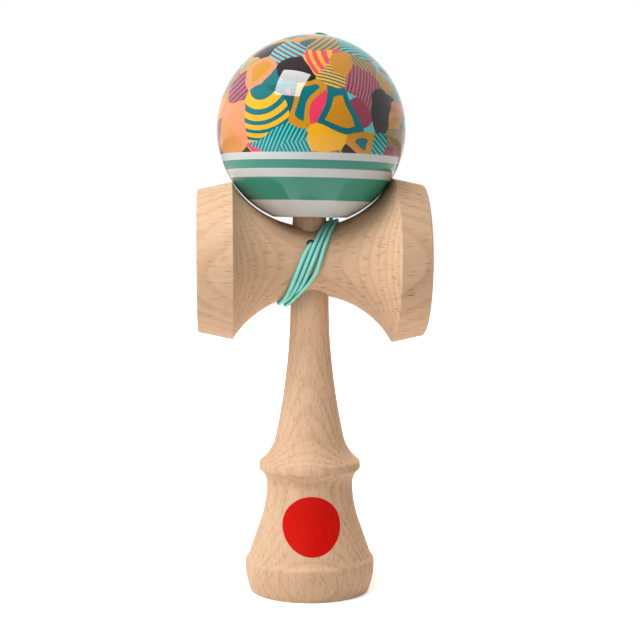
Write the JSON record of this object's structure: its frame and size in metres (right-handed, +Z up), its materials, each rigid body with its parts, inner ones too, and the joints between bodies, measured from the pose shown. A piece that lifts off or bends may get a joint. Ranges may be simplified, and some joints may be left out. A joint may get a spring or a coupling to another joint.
{
  "type": "kendama",
  "caption": "Wooden kendama standing on its base cup: turned handle with spike, cross piece with two cups, painted ball on the spike, string wound round the waist.",
  "frame": {"origin": "middle of the base cup's foot, on the ken's axis", "axes": "+Z up along the ken to the spike, +X out of the big cup, -Y the front with the string hole"},
  "size_m": [0.0731, 0.0608, 0.1824],
  "materials": {
    "beech": "bare, sanded",
    "ball_lacquer": "painted, high gloss clear coat",
    "bead_wood": "bare",
    "string": "braided"
  },
  "bodies": {
    "ken": {"ken": "beech", "sarado": "beech", "anchor_knot": "string", "string_winding": "string"},
    "string_end": {"string_riser": "string", "string_tail": "string", "bead": "bead_wood", "bead_knot": "string"},
    "ball": {"tama": "ball_lacquer"}
  },
  "joints": [
    {"name": "tama_lift", "type": "slide", "parent": "ken", "child": "string_end", "axis": [0, 0, 1], "range_m": [0, 0.045], "deforming": ["string_riser"]},
    {"name": "tama_spin", "type": "hinge", "parent": "string_end", "child": "ball", "pos_m": [0, 0, 0.1077], "axis": [0.0131, 0, 0.9999], "continuous": true}
  ]
}
